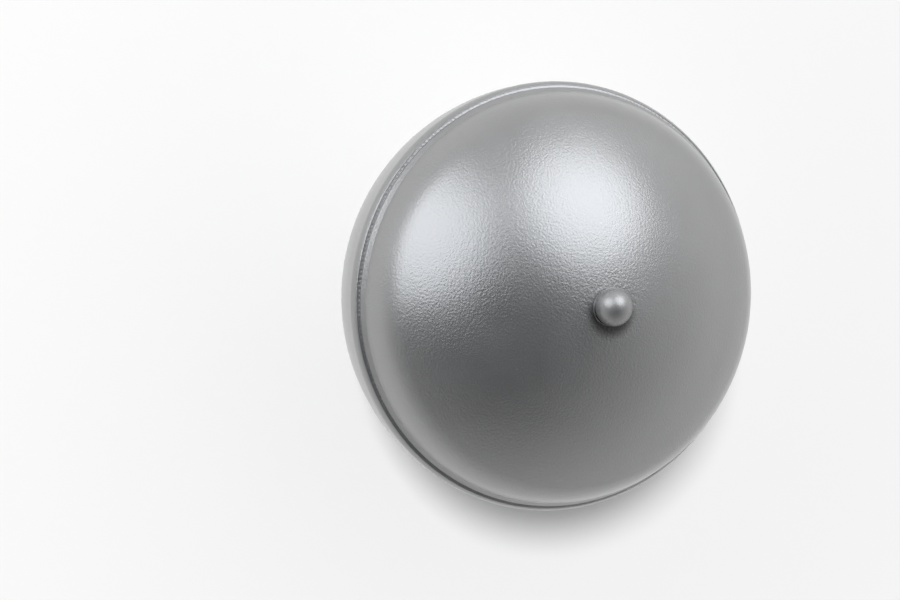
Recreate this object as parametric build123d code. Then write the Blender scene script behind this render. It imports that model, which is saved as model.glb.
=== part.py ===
# Diaphragm accumulator: a welded steel ball that holds gas above a rubber diaphragm
# and oil below it, with a damper valve in its screwed port.
# Millimetres. The axis of the ball is Z, and the origin is the middle of the port's end face,
# so the ball stands on its port with the gas side up.
import os
from math import acos, asin, cos, degrees, radians, sin, sqrt

from build123d import *

# Ball
body_radius = 58.0          # outside of the oil-side shell
oil_wall = 5.0              # wall of the oil-side shell
gas_wall = 5.0              # wall of the gas-side shell
bowl_wall_height = 5.3      # straight wall between the bowl and its rim
rim_rounding = 1.1          # how far the rim of the bowl curls in
rim_rounding_height = 2.55  # how far down the rim the curl begins

# Gas-side dome
dome_edge_inset = 2.9       # dome edge radius, in from the outside of the ball
dome_edge_height = 1.95     # dome edge above the rim of the bowl
crown_radius = 77.4
knuckle_radius = 18.8
dome_edge_angle = 77.6      # how steep the knuckle is at the edge, from the axis

# Welded joint between the shells
groove_opening = 1.1        # mouth of the weld groove
groove_depth = 2.0
groove_root = 0.3           # flat that the weld starts from
rim_edge_rounding = 0.15    # bowl's edge of the mouth
bevel_edge_rounding = 0.3   # dome's edge of the mouth
dome_edge_rounding = 0.4    # rounding between the dome and its bevel
weld_low_sink = 0.2         # weld below the bowl's edge of the mouth
weld_high_sink = 0.25       # weld below the dome's edge of the mouth
weld_hollow = 0.3           # how far the weld cap is dished
butt_depth = 1.25           # meeting faces of the shells, below the rim of the bowl
register_wall = 3.4         # oil-side rim left outside the register
register_depth = 0.7        # how far the gas-side shell enters the oil-side one
register_fit = 0.1

# Diaphragm and its clamp
clamp_flange = 1.5
clamp_leg_length = 5.6
clamp_leg_width = 2.7
clamp_edge = 1.0            # rounding under the leg, where the rubber rolls over
bead_height = 4.6
diaphragm_wall = 2.2
diaphragm_fit = 0.3         # rubber to the bowl
bead_fit = 0.1
bead_edge = 0.6
rubber_edge = 1.0
boss_radius = 18.0
boss_rise = 3.0             # thicker rubber round the button
boss_slope = 2.5
button_radius = 14.0
button_thickness = 3.0
button_stem_radius = 3.0
button_head_radius = 5.0
button_head_height = 1.8
button_fit = 0.1
button_edge = 0.6

# Gas charging hole and the ball welded over it
charge_ball_radius = 4.75
charge_ball_rise = 2.3      # its centre above the dome
charge_hole_radius = 1.6
charge_seat_fit = 0.05
charge_weld_width = 0.9
charge_weld_height = 0.7

# Port neck
thread_radius = 17.5        # M35 x 1.5
thread_length = 8.0
thread_chamfer = 1.0
undercut_width = 1.4
undercut_depth = 1.2
pilot_height = 2.0
seal_radius = 19.25         # inside of the port seal ring
seal_width = 2.05
seal_height = 2.5
seal_fit = 0.05
seat_margin = 0.7           # seat beyond the seal ring
neck_stand_off = 1.3        # seat beyond the pole of the bowl
neck_fit = 0.05             # neck in the hole of the bowl
neck_weld_leg = 2.6
neck_lip = 4.5              # thickness over the valve chamber
neck_mouth_radius = 10.5
neck_mouth_edge = 0.8
port_bore_radius = 13.0
port_bore_depth = 6.0
port_bore_chamfer = 0.6
chamber_radius = 12.5

# Damper valve
valve_fit = 0.05
gasket_thickness = 0.5
gasket_width = 1.5
damper_thickness = 6.0
damper_edge = 0.4
pin_radius = 2.45
bleed_radius = 0.6
pin_head_radius = 3.9
pin_head_height = 1.6
pin_tail = 0.6
oil_hole_count = 4          # to each side
oil_hole_radius = 1.2
oil_hole_circle = 6.3
feed_slot_depth = 1.4
leaf_thickness = 0.3
leaf_radii = [8.8, 7.4, 6.0]
stop_washer_radius = 4.7
stop_washer_thickness = 1.0
nut_width = 8.0
nut_height = 2.5
ring_height = 3.5
ring_inner_radius = 9.6
spanner_slot_width = 2.4
spanner_slot_depth = 1.5

# Heights up the axis, from the port's end face
seat_z = thread_length + undercut_width + pilot_height
bowl_centre_z = seat_z + neck_stand_off + body_radius
rim_z = bowl_centre_z + bowl_wall_height
dome_edge_z = rim_z + dome_edge_height
butt_z = rim_z - butt_depth
register_z = butt_z - register_depth
clamp_z = register_z - clamp_flange
ledge_z = clamp_z - bead_height

# Radii shared by the shells and what they hold
bowl_radius = body_radius - oil_wall
rim_radius = body_radius - rim_rounding
dome_edge_radius = body_radius - dome_edge_inset
counterbore_radius = body_radius - register_wall
rubber_outer = bowl_radius - diaphragm_fit
rubber_inner = rubber_outer - diaphragm_wall
pilot_radius = seal_radius - seal_fit
neck_radius = seal_radius + seal_width + seat_margin

# The neck's inner face is level with the bowl where the two meet
neck_top_z = bowl_centre_z - sqrt(bowl_radius**2 - neck_radius**2)
chamber_top_z = neck_top_z - neck_lip
button_z = neck_top_z + diaphragm_fit


def polar(centre, radius, angle):
    """A point at an angle down from +Z, as (r, z)."""
    return (centre[0] + radius * sin(radians(angle)), centre[1] + radius * cos(radians(angle)))


def arc(centre, radius, first, last):
    """An arc between two angles down from +Z."""
    middle = (first + last) / 2
    return ThreePointArc(
        polar(centre, radius, first), polar(centre, radius, middle), polar(centre, radius, last)
    )


def turned(*lines, rounded=()):
    """Revolves a closed (r, z) outline round the axis; rounded holds (corner, radius) pairs."""
    outline = make_face(lines)
    for corner, radius in rounded:
        nearest = outline.vertices().sort_by_distance(corner)[0]
        outline = fillet(nearest, radius)
    return revolve(Plane.XZ * outline, Axis.Z)


def ring(inner, outer, low, high):
    """A plain ring or disc of rectangular section."""
    return turned(Polyline((inner, low), (outer, low), (outer, high), (inner, high), close=True))


# Dome: crown and knuckle arcs that meet in a tangent
knuckle_centre = (
    dome_edge_radius - knuckle_radius * sin(radians(dome_edge_angle)),
    dome_edge_z - knuckle_radius * cos(radians(dome_edge_angle)),
)
crown_angle = degrees(asin(knuckle_centre[0] / (crown_radius - knuckle_radius)))
crown_centre = (
    0.0,
    knuckle_centre[1] - (crown_radius - knuckle_radius) * cos(radians(crown_angle)),
)
dome_top_z = crown_centre[1] + crown_radius

# Weld groove: its mouth lies between the rim of the bowl and the bevelled edge of the dome
mouth_low = (rim_radius, rim_z)
bevel = (dome_edge_radius - rim_radius, dome_edge_height)
bevel_length = sqrt(bevel[0] ** 2 + bevel[1] ** 2)
mouth_share = groove_opening / bevel_length
mouth_high = (mouth_low[0] + bevel[0] * mouth_share, mouth_low[1] + bevel[1] * mouth_share)
root_radius = rim_radius - groove_depth
root_low = (root_radius, butt_z)
root_high = (root_radius, butt_z + groove_root)


def along(start, end, length):
    """The point at a length from start towards end."""
    span = sqrt((end[0] - start[0]) ** 2 + (end[1] - start[1]) ** 2)
    share = length / span
    return (start[0] + (end[0] - start[0]) * share, start[1] + (end[1] - start[1]) * share)


def halfway(start, end):
    """The middle of a straight line."""
    return ((start[0] + end[0]) / 2, (start[1] + end[1]) / 2)


def gas_side_shell():
    """Flattened dome with a bevelled rim, a register and the charging hole."""
    inner_knuckle = knuckle_radius - gas_wall
    inner_edge = polar(knuckle_centre, inner_knuckle, dome_edge_angle)
    inner_crown = crown_radius - gas_wall
    register_radius = counterbore_radius - register_fit
    hole_angle = degrees(asin(charge_hole_radius / crown_radius))
    inner_hole_angle = degrees(asin(charge_hole_radius / inner_crown))
    hole_top = polar(crown_centre, crown_radius, hole_angle)
    hole_low = polar(crown_centre, inner_crown, inner_hole_angle)
    shell = turned(
        arc(crown_centre, crown_radius, hole_angle, crown_angle),
        arc(knuckle_centre, knuckle_radius, crown_angle, dome_edge_angle),
        Line((dome_edge_radius, dome_edge_z), mouth_high),
        Line(mouth_high, root_high),
        Line(root_high, root_low),
        Line(root_low, (register_radius, butt_z)),
        Line((register_radius, butt_z), (register_radius, register_z)),
        Line((register_radius, register_z), (inner_edge[0], register_z)),
        Line((inner_edge[0], register_z), inner_edge),
        arc(knuckle_centre, inner_knuckle, dome_edge_angle, crown_angle),
        arc(crown_centre, inner_crown, crown_angle, inner_hole_angle),
        Line(hole_low, hole_top),
        rounded=[
            ((dome_edge_radius, dome_edge_z), dome_edge_rounding),
            (mouth_high, bevel_edge_rounding),
        ],
    )
    seat = Sphere(charge_ball_radius + charge_seat_fit)
    return shell - Pos(0, 0, dome_top_z + charge_ball_rise) * seat


def oil_side_shell():
    """Deep bowl with a rounded rim, a clamping ledge and the hole for the neck."""
    hole_radius = neck_radius + neck_fit
    centre = (0.0, bowl_centre_z)
    hole_outer_angle = 180 - degrees(asin(hole_radius / body_radius))
    hole_inner_angle = 180 - degrees(asin(hole_radius / bowl_radius))
    hole_outer = polar(centre, body_radius, hole_outer_angle)
    hole_inner = polar(centre, bowl_radius, hole_inner_angle)
    ledge_angle = 90 + degrees(asin((bowl_centre_z - ledge_z) / bowl_radius))
    curl_z = rim_z - rim_rounding_height
    return turned(
        arc(centre, body_radius, hole_outer_angle, 90),
        Line((body_radius, bowl_centre_z), (body_radius, curl_z)),
        TangentArc((body_radius, curl_z), (rim_radius, rim_z), tangent=(0, 1)),
        Line((rim_radius, rim_z), root_low),
        Line(root_low, (counterbore_radius, butt_z)),
        Line((counterbore_radius, butt_z), (counterbore_radius, ledge_z)),
        Line((counterbore_radius, ledge_z), polar(centre, bowl_radius, ledge_angle)),
        arc(centre, bowl_radius, ledge_angle, hole_inner_angle),
        Line(hole_inner, hole_outer),
        rounded=[(mouth_low, rim_edge_rounding)],
    )


def equator_weld():
    """Bead with a dished cap that fills the groove to a little below its mouth."""
    low = along(mouth_low, root_low, weld_low_sink)
    high = along(mouth_high, root_high, weld_high_sink)
    throat = along(halfway(low, high), halfway(root_low, root_high), weld_hollow)
    return turned(Polyline(root_low, low, throat, high, root_high, close=True))


def clamp_ring():
    """Flange that the gas-side shell presses down, with a leg inside the bead."""
    outer = counterbore_radius - bead_fit
    leg_outer = rubber_inner - bead_fit
    leg_inner = leg_outer - clamp_leg_width
    foot_z = clamp_z - clamp_leg_length
    section = FilletPolyline(
        (leg_inner, register_z),
        (leg_inner, foot_z),
        (leg_outer, foot_z),
        (leg_outer, clamp_z),
        (outer, clamp_z),
        (outer, register_z),
        radius=[0, clamp_edge, clamp_edge, 0, 0, 0],
        close=True,
    )
    return turned(section)


def diaphragm():
    """Rubber cup that lies along the bowl, with a bead at its rim and a boss for the button."""
    centre = (0.0, bowl_centre_z)
    floor_z = button_z + diaphragm_wall
    boss_z = floor_z + boss_rise
    bead_outer = counterbore_radius - bead_fit
    ledge_angle = 90 + degrees(asin((bowl_centre_z - ledge_z) / rubber_outer))
    outer_floor_angle = degrees(acos((button_z - bowl_centre_z) / rubber_outer))
    inner_floor_angle = degrees(acos((floor_z - bowl_centre_z) / rubber_inner))
    hole = button_stem_radius + button_fit
    pocket = button_radius + button_fit
    pocket_z = button_z + button_thickness + button_fit
    return turned(
        Line((hole, boss_z), (boss_radius - boss_slope, boss_z)),
        Line((boss_radius - boss_slope, boss_z), (boss_radius, floor_z)),
        Line((boss_radius, floor_z), polar(centre, rubber_inner, inner_floor_angle)),
        arc(centre, rubber_inner, inner_floor_angle, 90),
        Line((rubber_inner, bowl_centre_z), (rubber_inner, clamp_z)),
        Line((rubber_inner, clamp_z), (bead_outer, clamp_z)),
        Line((bead_outer, clamp_z), (bead_outer, ledge_z)),
        Line((bead_outer, ledge_z), polar(centre, rubber_outer, ledge_angle)),
        arc(centre, rubber_outer, ledge_angle, outer_floor_angle),
        Line(polar(centre, rubber_outer, outer_floor_angle), (pocket, button_z)),
        Line((pocket, button_z), (pocket, pocket_z)),
        Line((pocket, pocket_z), (hole, pocket_z)),
        Line((hole, pocket_z), (hole, boss_z)),
        rounded=[
            ((boss_radius - boss_slope, boss_z), rubber_edge),
            ((boss_radius, floor_z), rubber_edge),
            ((bead_outer, clamp_z), bead_edge),
            ((bead_outer, ledge_z), bead_edge),
        ],
    )


def diaphragm_button():
    """Disc that closes the port when the oil has gone, snapped through the rubber."""
    disc_top = button_z + button_thickness
    boss_z = button_z + diaphragm_wall + boss_rise
    head_z = boss_z + button_fit
    section = FilletPolyline(
        (0, button_z),
        (button_radius, button_z),
        (button_radius, disc_top),
        (button_stem_radius, disc_top),
        (button_stem_radius, head_z),
        (button_head_radius, head_z),
        (button_head_radius, head_z + button_head_height),
        (0, head_z + button_head_height),
        radius=[0, button_edge, button_edge, 0, 0, button_edge, button_edge, 0],
        close=True,
    )
    return turned(section)


def charge_ball():
    """Steel ball that was welded over the charging hole."""
    return Pos(0, 0, dome_top_z + charge_ball_rise) * Sphere(charge_ball_radius)


def charge_ball_weld():
    """Collar of weld metal round the foot of the ball."""
    ball_centre_z = dome_top_z + charge_ball_rise
    gap_radius = charge_ball_radius + charge_seat_fit
    top_z = dome_top_z + charge_weld_height
    foot_radius = sqrt(gap_radius**2 - charge_ball_rise**2) + charge_weld_width
    foot_angle = degrees(asin(foot_radius / crown_radius))
    foot = polar(crown_centre, crown_radius, foot_angle)
    top_radius = sqrt(gap_radius**2 - (ball_centre_z - top_z) ** 2)
    blank = turned(
        Line((0, dome_top_z - charge_weld_height), (foot[0], dome_top_z - charge_weld_height)),
        Line((foot[0], dome_top_z - charge_weld_height), foot),
        Line(foot, (top_radius, top_z)),
        Line((top_radius, top_z), (0, top_z)),
        Line((0, top_z), (0, dome_top_z - charge_weld_height)),
    )
    under_dome = Pos(0, 0, crown_centre[1]) * Sphere(crown_radius)
    around_ball = Pos(0, 0, ball_centre_z) * Sphere(gap_radius)
    return blank - under_dome - around_ball


def port_neck():
    """Turned neck with the port thread outside and the valve chamber inside."""
    thread_top = thread_length
    undercut_top = thread_length + undercut_width
    undercut_radius = thread_radius - undercut_depth
    return turned(
        Polyline(
            (port_bore_radius + port_bore_chamfer, 0),
            (thread_radius - thread_chamfer, 0),
            (thread_radius, thread_chamfer),
            (thread_radius, thread_top),
            (undercut_radius, thread_top + undercut_depth / 2),
            (undercut_radius, undercut_top),
            (pilot_radius, undercut_top),
            (pilot_radius, seat_z),
            (neck_radius, seat_z),
            (neck_radius, neck_top_z),
            (neck_mouth_radius + neck_mouth_edge, neck_top_z),
            (neck_mouth_radius, neck_top_z - neck_mouth_edge),
            (neck_mouth_radius, chamber_top_z),
            (chamber_radius, chamber_top_z),
            (chamber_radius, port_bore_depth),
            (port_bore_radius, port_bore_depth),
            (port_bore_radius, port_bore_chamfer),
            close=True,
        )
    )


def neck_weld():
    """Fillet weld between the neck and the outside of the bowl."""
    hole_radius = neck_radius + neck_fit
    hole_angle = 180 - degrees(asin(hole_radius / body_radius))
    toe_angle = hole_angle - degrees(neck_weld_leg / body_radius)
    centre = (0.0, bowl_centre_z)
    corner = polar(centre, body_radius, hole_angle)
    toe = polar(centre, body_radius, toe_angle)
    low = (neck_radius, corner[1] - neck_weld_leg)
    return turned(
        arc(centre, body_radius, hole_angle, toe_angle),
        RadiusArc(toe, low, 2 * neck_weld_leg),
        Line(low, (neck_radius, corner[1])),
        Line((neck_radius, corner[1]), corner),
    )


def port_seal_ring():
    """Square-section ring on the neck's pilot, against its seat."""
    return ring(seal_radius, seal_radius + seal_width, seat_z - seal_height, seat_z)


# Damper valve, from the chamber's shoulder down
damper_top_z = chamber_top_z - gasket_thickness
damper_low_z = damper_top_z - damper_thickness
stack_height = leaf_thickness * len(leaf_radii)


def gasket():
    """Washer that seals the damper body against the chamber's shoulder."""
    outer = chamber_radius - valve_fit
    return ring(outer - gasket_width, outer, damper_top_z, chamber_top_z)


def damper_body():
    """Disc with two sets of oil holes, each fed past the leaves through open slots."""
    outer = chamber_radius - valve_fit
    body = ring(pin_radius + valve_fit, outer, damper_low_z, damper_top_z)
    body = chamfer(body.edges().filter_by(GeomType.CIRCLE).sort_by(SortBy.RADIUS)[-2:], damper_edge)
    hole = Cylinder(oil_hole_radius, damper_thickness)
    middle_z = (damper_low_z + damper_top_z) / 2
    slot_end = outer - gasket_width - damper_edge
    slot_length = slot_end - oil_hole_circle
    outwards_and_down = (Align.MIN, Align.CENTER, Align.MAX)
    slot = Box(slot_length, 2 * oil_hole_radius, feed_slot_depth, align=outwards_and_down)
    slot = Pos(oil_hole_circle, 0, 0) * slot
    step = 180 / oil_hole_count
    for index in range(2 * oil_hole_count):
        body -= Rot(0, 0, index * step) * Pos(oil_hole_circle, 0, middle_z) * hole
    for index in range(oil_hole_count):
        body -= Rot(0, 0, 2 * index * step) * Pos(0, 0, damper_top_z) * slot
        body -= Rot(0, 0, (2 * index + 1) * step) * Pos(0, 0, damper_low_z + feed_slot_depth) * slot
    return body


def damper_pin():
    """Pin through the valve with a fine bleed bore, riveted over its head."""
    head_z = damper_top_z + stack_height + stop_washer_thickness
    tail_z = damper_low_z - stack_height - stop_washer_thickness - nut_height - pin_tail
    return turned(
        Polyline(
            (bleed_radius, tail_z),
            (pin_radius, tail_z),
            (pin_radius, head_z),
            (pin_head_radius, head_z),
            (pin_head_radius, head_z + pin_head_height / 2),
            (pin_head_radius - pin_head_height / 2, head_z + pin_head_height),
            (bleed_radius, head_z + pin_head_height),
            close=True,
        )
    )


def damper_nut():
    """Hexagon nut under the valve."""
    top_z = damper_low_z - stack_height - stop_washer_thickness
    outline = RegularPolygon(nut_width / 2, 6, major_radius=False) - Circle(pin_radius + valve_fit)
    return Pos(0, 0, top_z - nut_height) * extrude(outline, nut_height)


def leaf(index, side):
    """Spring leaf of a stack that closes one face of the damper body; side is 1 up, -1 down."""
    face_z = damper_top_z if side > 0 else damper_low_z
    near = face_z + side * index * leaf_thickness
    far = near + side * leaf_thickness
    return ring(pin_radius + valve_fit, leaf_radii[index], min(near, far), max(near, far))


def stop_washer(side):
    """Thick washer that limits how far the leaves bend."""
    face_z = damper_top_z if side > 0 else damper_low_z
    near = face_z + side * stack_height
    far = near + side * stop_washer_thickness
    return ring(pin_radius + valve_fit, stop_washer_radius, min(near, far), max(near, far))


def damper_lock_ring():
    """Threaded ring that holds the damper body up, slotted for a spanner."""
    outer = chamber_radius - valve_fit
    low_z = damper_low_z - ring_height
    body = ring(ring_inner_radius, outer, low_z, damper_low_z)
    upwards = (Align.CENTER, Align.CENTER, Align.MIN)
    slot = Box(3 * chamber_radius, spanner_slot_width, spanner_slot_depth, align=upwards)
    return body - Pos(0, 0, low_z) * slot


nodes = {
    "gas_side_shell": gas_side_shell(),
    "oil_side_shell": oil_side_shell(),
    "equator_weld": equator_weld(),
    "charge_ball": charge_ball(),
    "charge_ball_weld": charge_ball_weld(),
    "clamp_ring": clamp_ring(),
    "diaphragm": diaphragm(),
    "diaphragm_button": diaphragm_button(),
    "port_neck": port_neck(),
    "neck_weld": neck_weld(),
    "port_seal_ring": port_seal_ring(),
    "damper_gasket": gasket(),
    "damper_body": damper_body(),
    "damper_pin": damper_pin(),
    "damper_nut": damper_nut(),
    "damper_lock_ring": damper_lock_ring(),
    "upper_stop_washer": stop_washer(1),
    "lower_stop_washer": stop_washer(-1),
}
for index in range(len(leaf_radii)):
    nodes[f"upper_leaf_{index + 1}"] = leaf(index, 1)
    nodes[f"lower_leaf_{index + 1}"] = leaf(index, -1)

os.makedirs("parts", exist_ok=True)
for name, solid in nodes.items():
    solid.label = name
    export_step(solid, f"parts/{name}.step")
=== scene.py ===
# Looks of the diaphragm accumulator, in the part's own frame: port end face at z 0, axis of the
# ball up Z, gas side up. Lengths of pieces and paint are in millimetres, those of camera, lamps,
# floor and bump depths in metres.
from math import acos, asin, atan2, cos, degrees, exp, pi, radians, sin, sqrt, tan

import bmesh
import bpy
from mathutils import Matrix, Vector, noise
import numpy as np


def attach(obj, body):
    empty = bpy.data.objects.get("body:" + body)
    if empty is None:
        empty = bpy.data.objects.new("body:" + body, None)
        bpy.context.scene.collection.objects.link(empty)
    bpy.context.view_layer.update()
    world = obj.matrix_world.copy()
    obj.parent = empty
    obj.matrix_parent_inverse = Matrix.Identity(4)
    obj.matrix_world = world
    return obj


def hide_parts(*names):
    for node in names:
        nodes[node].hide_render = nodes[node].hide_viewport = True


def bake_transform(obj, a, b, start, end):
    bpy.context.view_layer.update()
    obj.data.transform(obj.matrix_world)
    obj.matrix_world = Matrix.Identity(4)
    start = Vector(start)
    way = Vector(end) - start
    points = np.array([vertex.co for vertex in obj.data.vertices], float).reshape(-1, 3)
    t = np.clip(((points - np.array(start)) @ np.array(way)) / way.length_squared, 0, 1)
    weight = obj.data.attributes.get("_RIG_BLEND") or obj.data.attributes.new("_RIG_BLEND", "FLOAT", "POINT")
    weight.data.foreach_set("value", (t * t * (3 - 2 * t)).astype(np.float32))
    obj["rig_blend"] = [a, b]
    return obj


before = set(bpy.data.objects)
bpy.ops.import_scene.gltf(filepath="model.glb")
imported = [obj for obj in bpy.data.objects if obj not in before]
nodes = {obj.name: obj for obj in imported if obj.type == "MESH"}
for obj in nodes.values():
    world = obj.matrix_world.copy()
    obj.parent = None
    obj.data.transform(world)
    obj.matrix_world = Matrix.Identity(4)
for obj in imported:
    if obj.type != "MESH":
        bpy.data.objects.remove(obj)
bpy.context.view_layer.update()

scene = bpy.context.scene
mm = 0.001
mergeWithin = 2e-7        # metres
print("frame loaded,", len(nodes), "nodes")


# Outlines are lists of (radius, height) pairs, angles are measured down from +Z

def polar(centre, radius, angle):
    return (centre[0] + radius * sin(radians(angle)), centre[1] + radius * cos(radians(angle)))


def arcLine(centre, radius, first, last, steps):
    return [polar(centre, radius, first + (last - first) * k / steps) for k in range(steps + 1)]


def toward(start, end, length):
    way = Vector(end) - Vector(start)
    return tuple(Vector(start) + way.normalized() * length)


def halfway(start, end):
    return tuple((Vector(start) + Vector(end)) / 2)


def softCorner(before, corner, after, radius, steps=5):
    middle = Vector(corner)
    back = (Vector(before) - middle).normalized()
    ahead = (Vector(after) - middle).normalized()
    half = back.angle(ahead) / 2
    centre = middle + (back + ahead).normalized() * radius / sin(half)
    first = middle + back * radius / tan(half) - centre
    last = middle + ahead * radius / tan(half) - centre
    turn = atan2(first.x * last.y - first.y * last.x, first.dot(last))
    points = []
    for k in range(steps + 1):
        a = turn * k / steps
        x = first.x * cos(a) - first.y * sin(a)
        y = first.x * sin(a) + first.y * cos(a)
        points.append((centre.x + x, centre.y + y))
    return points


def softOutline(corners, radii, steps=4):
    points = []
    for k, radius in enumerate(radii):
        before, corner, after = corners[k - 1], corners[k], corners[(k + 1) % len(corners)]
        if radius:
            points += softCorner(before, corner, after, radius, steps)
        else:
            points.append(corner)
    return points


def split(start, end, pieces):
    way = Vector(end) - Vector(start)
    return [tuple(Vector(start) + way * k / pieces) for k in range(1, pieces)]


def lathe(name, outline, turns, change=None, sharp=35):
    rows = len(outline)
    points = []
    for s in range(turns):
        a = 2 * pi * s / turns
        for k, (r, z) in enumerate(outline):
            if change:
                r, z = change(a, k, r, z)
            points.append((r * cos(a) * mm, r * sin(a) * mm, z * mm))
    faces = []
    for s in range(turns):
        here, there = s * rows, (s + 1) % turns * rows
        for k in range(rows):
            m = (k + 1) % rows
            faces.append((here + k, there + k, there + m, here + m))
    return solid(name, points, faces, sharp)


def solid(name, points, faces, sharp=35):
    mesh = bpy.data.meshes.new(name)
    mesh.from_pydata(points, [], faces)
    work = bmesh.new()
    work.from_mesh(mesh)
    bmesh.ops.remove_doubles(work, verts=work.verts, dist=mergeWithin)
    bmesh.ops.recalc_face_normals(work, faces=work.faces)
    work.to_mesh(mesh)
    work.free()
    for face in mesh.polygons:
        face.use_smooth = True
    mesh.set_sharp_from_angle(angle=radians(sharp))
    piece = bpy.data.objects.new(name, mesh)
    scene.collection.objects.link(piece)
    return piece


def rough(x, y, z, size):
    return noise.noise(Vector((x, y, z)) / size)


# Shader node helpers

def addNode(tree, kind, x, y, **settings):
    node = tree.nodes.new(kind)
    node.location = (x, y)
    for key, value in settings.items():
        setattr(node, key, value)
    return node


def feed(tree, socket, value):
    if isinstance(value, (int, float, tuple)):
        socket.default_value = value
    else:
        tree.links.new(value, socket)


def newGroup(name, inputs, outputs):
    group = bpy.data.node_groups.new(name, "ShaderNodeTree")
    for label, kind, value in inputs:
        socket = group.interface.new_socket(name=label, in_out="INPUT", socket_type=kind)
        socket.default_value = value
    for label, kind in outputs:
        group.interface.new_socket(name=label, in_out="OUTPUT", socket_type=kind)
    start = addNode(group, "NodeGroupInput", -1000, 0)
    end = addNode(group, "NodeGroupOutput", 800, 0)
    return group, start, end


def placeGroup(tree, group, x, y, values):
    node = addNode(tree, "ShaderNodeGroup", x, y)
    node.node_tree = group
    for label, value in values.items():
        node.inputs[label].default_value = value
    return node


def newMaterial(name, settings):
    material = bpy.data.materials.new(name)
    material.use_nodes = True
    shader = material.node_tree.nodes["Principled BSDF"]
    for label, value in settings.items():
        shader.inputs[label].default_value = value
    return material, material.node_tree, shader


def noiseOf(tree, where, scale, x, y, detail=2.0, roughness=0.5):
    node = addNode(tree, "ShaderNodeTexNoise", x, y)
    feed(tree, node.inputs["Scale"], scale)
    node.inputs["Detail"].default_value = detail
    node.inputs["Roughness"].default_value = roughness
    tree.links.new(where, node.inputs["Vector"])
    return node


def bumpOf(tree, height, depth, x, y, before=None):
    node = addNode(tree, "ShaderNodeBump", x, y)
    tree.links.new(height, node.inputs["Height"])
    feed(tree, node.inputs["Distance"], depth)
    if before:
        tree.links.new(before, node.inputs["Normal"])
    return node


def mathOf(tree, operation, a, b, x, y):
    node = addNode(tree, "ShaderNodeMath", x, y, operation=operation)
    feed(tree, node.inputs[0], a)
    feed(tree, node.inputs[1], b)
    return node.outputs[0]


def radiusOf(tree, parts, x, y):
    flat = addNode(tree, "ShaderNodeCombineXYZ", x, y)
    tree.links.new(parts.outputs["X"], flat.inputs["X"])
    tree.links.new(parts.outputs["Y"], flat.inputs["Y"])
    radius = addNode(tree, "ShaderNodeVectorMath", x + 150, y, operation="LENGTH")
    tree.links.new(flat.outputs[0], radius.inputs[0])
    return radius.outputs["Value"]


def rangeOf(tree, value, low, high, toLow, toHigh, x, y, smooth=False):
    node = addNode(tree, "ShaderNodeMapRange", x, y)
    node.interpolation_type = "SMOOTHSTEP" if smooth else "LINEAR"
    tree.links.new(value, node.inputs["Value"])
    ends = {"From Min": low, "From Max": high, "To Min": toLow, "To Max": toHigh}
    for label, number in ends.items():
        node.inputs[label].default_value = number
    return node.outputs["Result"]


def mixOf(tree, factor, a, b, x, y):
    node = addNode(tree, "ShaderNodeMix", x, y, data_type="RGBA")
    sockets = {s.identifier: s for s in node.inputs}
    for label, value in (("Factor_Float", factor), ("A_Color", a), ("B_Color", b)):
        feed(tree, sockets[label], value)
    return {s.identifier: s for s in node.outputs}["Result_Color"]


# Effects that several finishes share

def orangePeelGroup():
    sagScale = 230.0
    group, start, end = newGroup(
        "orangePeel",
        [("Grain Scale", "NodeSocketFloat", 1750.0), ("Depth", "NodeSocketFloat", 6e-6),
         ("Sag Depth", "NodeSocketFloat", 1e-5)],
        [("Normal", "NodeSocketVector")],
    )
    where = addNode(group, "ShaderNodeTexCoord", -1000, 300).outputs["Object"]
    grain = noiseOf(group, where, start.outputs["Grain Scale"], -700, 200)
    sag = noiseOf(group, where, sagScale, -700, -100, detail=1.0)
    long = bumpOf(group, sag.outputs["Fac"], start.outputs["Sag Depth"], 100, -100)
    fine = bumpOf(group, grain.outputs["Fac"], start.outputs["Depth"], 400, 100, long.outputs["Normal"])
    group.links.new(fine.outputs["Normal"], end.inputs["Normal"])
    return group


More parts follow.
